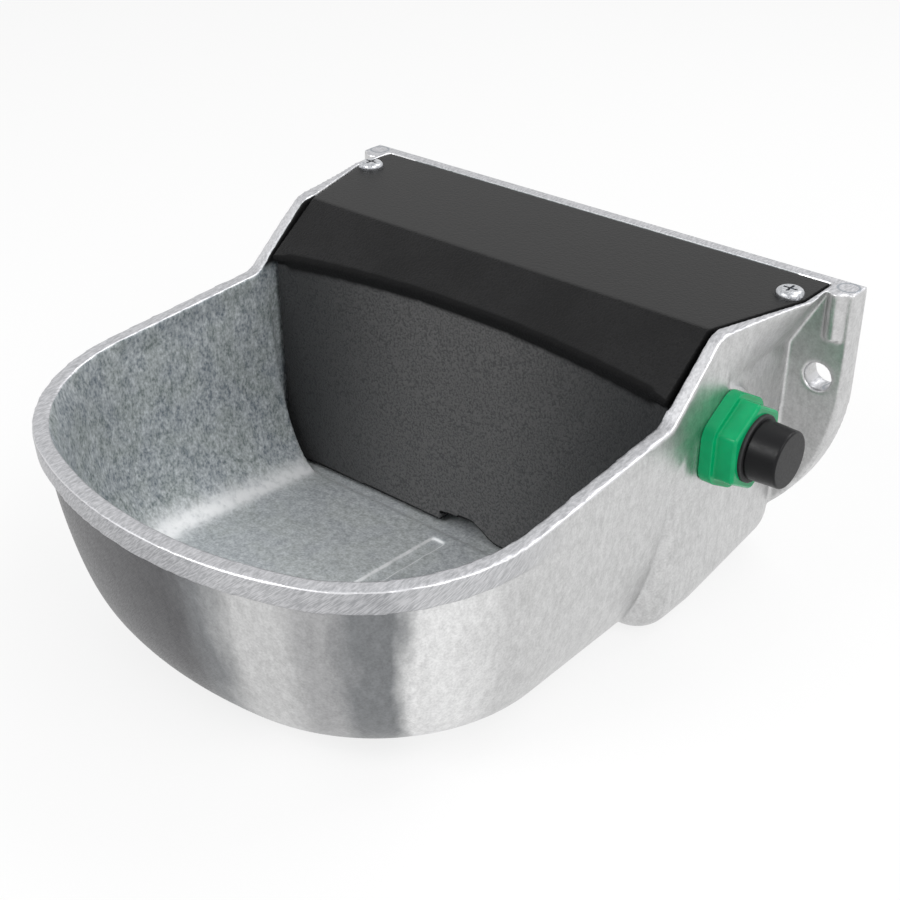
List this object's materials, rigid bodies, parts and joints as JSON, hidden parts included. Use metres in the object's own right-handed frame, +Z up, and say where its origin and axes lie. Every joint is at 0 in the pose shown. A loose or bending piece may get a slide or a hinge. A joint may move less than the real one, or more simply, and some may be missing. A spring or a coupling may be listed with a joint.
{
  "type": "livestock drinking bowl",
  "caption": "Wall-mounted livestock drinking bowl: cast bowl with a covered float valve and a side water inlet.",
  "frame": {"origin": "on the wall face, midway between the two fixing holes", "axes": "+Z up, +Y into the wall, the bowl reaches along -Y and the water inlet points along +X"},
  "size_m": [0.2948, 0.2906, 0.1429],
  "materials": {
    "cast_aluminium": "shot-blasted casting, rim machined flat",
    "black_plastic": "moulded, fine grain",
    "zinc_steel": "bright zinc plate",
    "green_plastic": "moulded, glossy",
    "black_rubber": "moulded",
    "cap_plastic": "moulded, satin",
    "white_plastic": "moulded acetal",
    "brass": "turned and stamped",
    "stainless_steel": "plain",
    "float_plastic": "blow moulded"
  },
  "bodies": {
    "casting": {"bowl_casting": "cast_aluminium", "valve_body": "green_plastic", "valve_gasket": "black_rubber", "lock_nut": "green_plastic", "inlet_washer": "black_rubber", "inlet_strainer": "white_plastic", "nozzle": "brass", "pivot_pin": "stainless_steel", "pin_clip": "stainless_steel"},
    "cover": {"cover": "black_plastic", "cover_screws": "zinc_steel"},
    "inlet_cap": {"inlet_cap": "cap_plastic"},
    "float_arm": {"float_arm": "brass", "float": "float_plastic", "float_screw": "stainless_steel", "float_nut": "stainless_steel"},
    "plunger": {"plunger": "white_plastic", "plunger_seal": "black_rubber"},
    "drain_plug": {"drain_plug": "black_rubber", "plug_ring": "black_rubber"}
  },
  "joints": [
    {"name": "cover_lift", "type": "slide", "parent": "casting", "child": "cover", "axis": [0, 0, 1], "range_m": [0, 0.15]},
    {"name": "cap_pull", "type": "slide", "parent": "casting", "child": "inlet_cap", "axis": [1, 0, 0], "range_m": [0, 0.02]},
    {"name": "float_swing", "type": "hinge", "parent": "casting", "child": "float_arm", "pos_m": [0.07, -0.073, -0.0155], "axis": [0, 1, 0], "range_deg": [0, 20]},
    {"name": "plunger_slide", "type": "slide", "parent": "casting", "child": "plunger", "axis": [1, 0, 0], "range_m": [0, 0.00266]},
    {"name": "plug_pull", "type": "slide", "parent": "casting", "child": "drain_plug", "axis": [0, 0, 1], "range_m": [0, 0.025]}
  ],
  "couplings": [
    {"joint": "plunger_slide", "follows": "float_swing", "m_per_rad": 0.007561}
  ]
}
